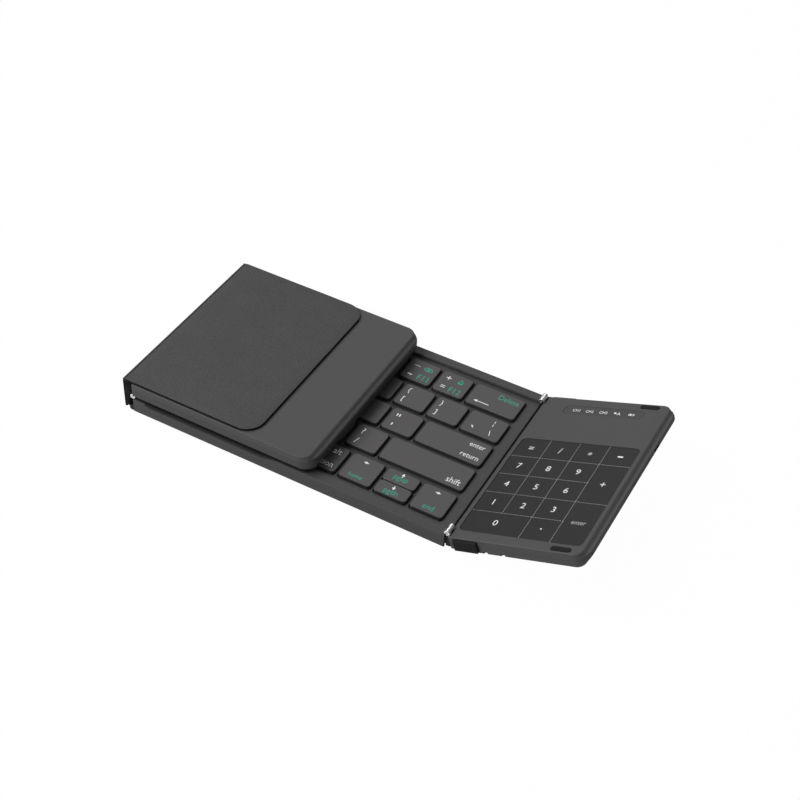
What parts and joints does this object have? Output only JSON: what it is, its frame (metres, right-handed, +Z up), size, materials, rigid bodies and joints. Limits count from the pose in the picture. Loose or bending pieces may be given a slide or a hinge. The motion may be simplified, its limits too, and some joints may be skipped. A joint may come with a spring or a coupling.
{
  "type": "folding keyboard",
  "caption": "Pocket keyboard in three hinged panels, with a touchpad panel and a soft cover that wraps round the folded key panel.",
  "frame": {"origin": "middle of the cover sheet's underside, below the centre panel, on the surface it stands on", "axes": "+X from the left hinge to the right hinge, +Y towards the back edge, +Z up"},
  "size_m": [0.2206, 0.1004, 0.0294],
  "materials": {
    "body_plastic": "fine matte moulding",
    "keycap_plastic": "satin matte",
    "plate_steel": "bare sheet",
    "dome_silicone": "translucent grey",
    "circuit_board": "solder mask",
    "screw_steel": "zinc",
    "magnet_nickel": "nickel plate",
    "touch_surface": "etched matte",
    "battery_foil": "foil pouch",
    "window_film": "smoked film",
    "bumper_rubber": "soft matte",
    "socket_steel": "drawn shell",
    "hinge_chrome": "polished",
    "pin_steel": "ground",
    "cover_leather": "fine grain"
  },
  "bodies": {
    "centre": {"centre_bottom_shell": "body_plastic", "centre_top_frame": "body_plastic", "centre_key_plate": "plate_steel", "centre_domes": "dome_silicone", "centre_circuit_board": "circuit_board", "centre_screws": "screw_steel", "left_hinge_pins": "pin_steel", "left_hinge_centre_knuckles": "hinge_chrome", "right_hinge_pins": "pin_steel", "right_hinge_centre_knuckles": "hinge_chrome", "cover_base": "cover_leather"},
    "left_panel": {"left_back_shell": "body_plastic", "left_top_frame": "body_plastic", "left_key_plate": "plate_steel", "left_domes": "dome_silicone", "left_screws": "screw_steel", "left_magnets": "magnet_nickel", "left_hinge_panel_knuckles": "hinge_chrome"},
    "right_panel": {"right_bottom_shell": "body_plastic", "right_top_shell": "body_plastic", "touchpad_plate": "touch_surface", "touch_sensor_board": "circuit_board", "main_board": "circuit_board", "battery": "battery_foil", "status_window": "window_film", "side_bumpers": "bumper_rubber", "rim_bumpers": "bumper_rubber", "charge_socket": "socket_steel", "right_screws": "screw_steel", "right_hinge_panel_knuckles": "hinge_chrome"},
    "spine": {"cover_spine": "cover_leather"},
    "flap": {"cover_flap": "cover_leather", "flap_steel_discs": "plate_steel"},
    "key_minus_cap": {"key_minus": "keycap_plastic"},
    "key_equals_cap": {"key_equals": "keycap_plastic"},
    "key_delete_cap": {"key_delete": "keycap_plastic"},
    "key_p_cap": {"key_p": "keycap_plastic"},
    "key_bracket_left_cap": {"key_bracket_left": "keycap_plastic"},
    "key_bracket_right_cap": {"key_bracket_right": "keycap_plastic"},
    "key_backslash_cap": {"key_backslash": "keycap_plastic"},
    "key_semicolon_cap": {"key_semicolon": "keycap_plastic"},
    "key_quote_cap": {"key_quote": "keycap_plastic"},
    "key_enter_cap": {"key_enter": "keycap_plastic"},
    "key_slash_cap": {"key_slash": "keycap_plastic"},
    "key_shift_right_cap": {"key_shift_right": "keycap_plastic"},
    "key_alt_right_cap": {"key_alt_right": "keycap_plastic"},
    "key_arrow_left_cap": {"key_arrow_left": "keycap_plastic"},
    "key_arrow_up_cap": {"key_arrow_up": "keycap_plastic"},
    "key_arrow_down_cap": {"key_arrow_down": "keycap_plastic"},
    "key_arrow_right_cap": {"key_arrow_right": "keycap_plastic"},
    "keys_digits_6_to_0_cap": {"keys_digits_6_to_0": "keycap_plastic"},
    "keys_y_to_o_cap": {"keys_y_to_o": "keycap_plastic"},
    "keys_h_to_l_cap": {"keys_h_to_l": "keycap_plastic"},
    "keys_b_to_dot_cap": {"keys_b_to_dot": "keycap_plastic"},
    "keys_space_and_command_cap": {"keys_space_and_command": "keycap_plastic"},
    "keys_left_row_1_cap": {"keys_left_row_1": "keycap_plastic"},
    "keys_left_row_2_cap": {"keys_left_row_2": "keycap_plastic"},
    "keys_left_row_3_cap": {"keys_left_row_3": "keycap_plastic"},
    "keys_left_row_4_cap": {"keys_left_row_4": "keycap_plastic"},
    "keys_left_row_5_cap": {"keys_left_row_5": "keycap_plastic"}
  },
  "joints": [
    {"name": "left_hinge", "type": "hinge", "parent": "centre", "child": "left_panel", "pos_m": [-0.0778, 0, 0.009], "axis": [0, -1, 0], "range_deg": [0, 180]},
    {"name": "right_hinge", "type": "hinge", "parent": "centre", "child": "right_panel", "pos_m": [0.0778, 0, 0.009], "axis": [0, -1, 0], "range_deg": [-21, 159]},
    {"name": "spine_fold", "type": "hinge", "parent": "centre", "child": "spine", "pos_m": [-0.0815, 0, 0.0012], "axis": [0, -1, 0], "range_deg": [0, 90]},
    {"name": "flap_fold", "type": "hinge", "parent": "spine", "child": "flap", "pos_m": [-0.0815, 0, 0.0168], "axis": [0, -1, 0], "range_deg": [0, 90]},
    {"name": "minus_press", "type": "slide", "parent": "centre", "child": "key_minus_cap", "axis": [0, 0, -1], "range_m": [0, 0.0012], "stiffness_N_per_m": 500},
    {"name": "equals_press", "type": "slide", "parent": "centre", "child": "key_equals_cap", "axis": [0, 0, -1], "range_m": [0, 0.0012], "stiffness_N_per_m": 500},
    {"name": "delete_press", "type": "slide", "parent": "centre", "child": "key_delete_cap", "axis": [0, 0, -1], "range_m": [0, 0.0012], "stiffness_N_per_m": 500},
    {"name": "p_press", "type": "slide", "parent": "centre", "child": "key_p_cap", "axis": [0, 0, -1], "range_m": [0, 0.0012], "stiffness_N_per_m": 500},
    {"name": "bracket_left_press", "type": "slide", "parent": "centre", "child": "key_bracket_left_cap", "axis": [0, 0, -1], "range_m": [0, 0.0012], "stiffness_N_per_m": 500},
    {"name": "bracket_right_press", "type": "slide", "parent": "centre", "child": "key_bracket_right_cap", "axis": [0, 0, -1], "range_m": [0, 0.0012], "stiffness_N_per_m": 500},
    {"name": "backslash_press", "type": "slide", "parent": "centre", "child": "key_backslash_cap", "axis": [0, 0, -1], "range_m": [0, 0.0012], "stiffness_N_per_m": 500},
    {"name": "semicolon_press", "type": "slide", "parent": "centre", "child": "key_semicolon_cap", "axis": [0, 0, -1], "range_m": [0, 0.0012], "stiffness_N_per_m": 500},
    {"name": "quote_press", "type": "slide", "parent": "centre", "child": "key_quote_cap", "axis": [0, 0, -1], "range_m": [0, 0.0012], "stiffness_N_per_m": 500},
    {"name": "enter_press", "type": "slide", "parent": "centre", "child": "key_enter_cap", "axis": [0, 0, -1], "range_m": [0, 0.0012], "stiffness_N_per_m": 500},
    {"name": "slash_press", "type": "slide", "parent": "centre", "child": "key_slash_cap", "axis": [0, 0, -1], "range_m": [0, 0.0012], "stiffness_N_per_m": 500},
    {"name": "shift_right_press", "type": "slide", "parent": "centre", "child": "key_shift_right_cap", "axis": [0, 0, -1], "range_m": [0, 0.0012], "stiffness_N_per_m": 500},
    {"name": "alt_right_press", "type": "slide", "parent": "centre", "child": "key_alt_right_cap", "axis": [0, 0, -1], "range_m": [0, 0.0012], "stiffness_N_per_m": 500},
    {"name": "arrow_left_press", "type": "slide", "parent": "centre", "child": "key_arrow_left_cap", "axis": [0, 0, -1], "range_m": [0, 0.0012], "stiffness_N_per_m": 500},
    {"name": "arrow_up_press", "type": "slide", "parent": "centre", "child": "key_arrow_up_cap", "axis": [0, 0, -1], "range_m": [0, 0.0012], "stiffness_N_per_m": 500},
    {"name": "arrow_down_press", "type": "slide", "parent": "centre", "child": "key_arrow_down_cap", "axis": [0, 0, -1], "range_m": [0, 0.0012], "stiffness_N_per_m": 500},
    {"name": "arrow_right_press", "type": "slide", "parent": "centre", "child": "key_arrow_right_cap", "axis": [0, 0, -1], "range_m": [0, 0.0012], "stiffness_N_per_m": 500},
    {"name": "digits_6_to_0_press", "type": "slide", "parent": "centre", "child": "keys_digits_6_to_0_cap", "axis": [0, 0, -1], "range_m": [0, 0.0012], "stiffness_N_per_m": 500},
    {"name": "y_to_o_press", "type": "slide", "parent": "centre", "child": "keys_y_to_o_cap", "axis": [0, 0, -1], "range_m": [0, 0.0012], "stiffness_N_per_m": 500},
    {"name": "h_to_l_press", "type": "slide", "parent": "centre", "child": "keys_h_to_l_cap", "axis": [0, 0, -1], "range_m": [0, 0.0012], "stiffness_N_per_m": 500},
    {"name": "b_to_dot_press", "type": "slide", "parent": "centre", "child": "keys_b_to_dot_cap", "axis": [0, 0, -1], "range_m": [0, 0.0012], "stiffness_N_per_m": 500},
    {"name": "space_and_command_press", "type": "slide", "parent": "centre", "child": "keys_space_and_command_cap", "axis": [0, 0, -1], "range_m": [0, 0.0012], "stiffness_N_per_m": 500},
    {"name": "left_row_1_press", "type": "slide", "parent": "left_panel", "child": "keys_left_row_1_cap", "axis": [0, 0, 1], "range_m": [0, 0.0012], "stiffness_N_per_m": 500},
    {"name": "left_row_2_press", "type": "slide", "parent": "left_panel", "child": "keys_left_row_2_cap", "axis": [0, 0, 1], "range_m": [0, 0.0012], "stiffness_N_per_m": 500},
    {"name": "left_row_3_press", "type": "slide", "parent": "left_panel", "child": "keys_left_row_3_cap", "axis": [0, 0, 1], "range_m": [0, 0.0012], "stiffness_N_per_m": 500},
    {"name": "left_row_4_press", "type": "slide", "parent": "left_panel", "child": "keys_left_row_4_cap", "axis": [0, 0, 1], "range_m": [0, 0.0012], "stiffness_N_per_m": 500},
    {"name": "left_row_5_press", "type": "slide", "parent": "left_panel", "child": "keys_left_row_5_cap", "axis": [0, 0, 1], "range_m": [0, 0.0012], "stiffness_N_per_m": 500}
  ],
  "couplings": [
    {"joint": "spine_fold", "follows": "left_hinge", "ratio": 0.5},
    {"joint": "flap_fold", "follows": "left_hinge", "ratio": 0.5}
  ]
}
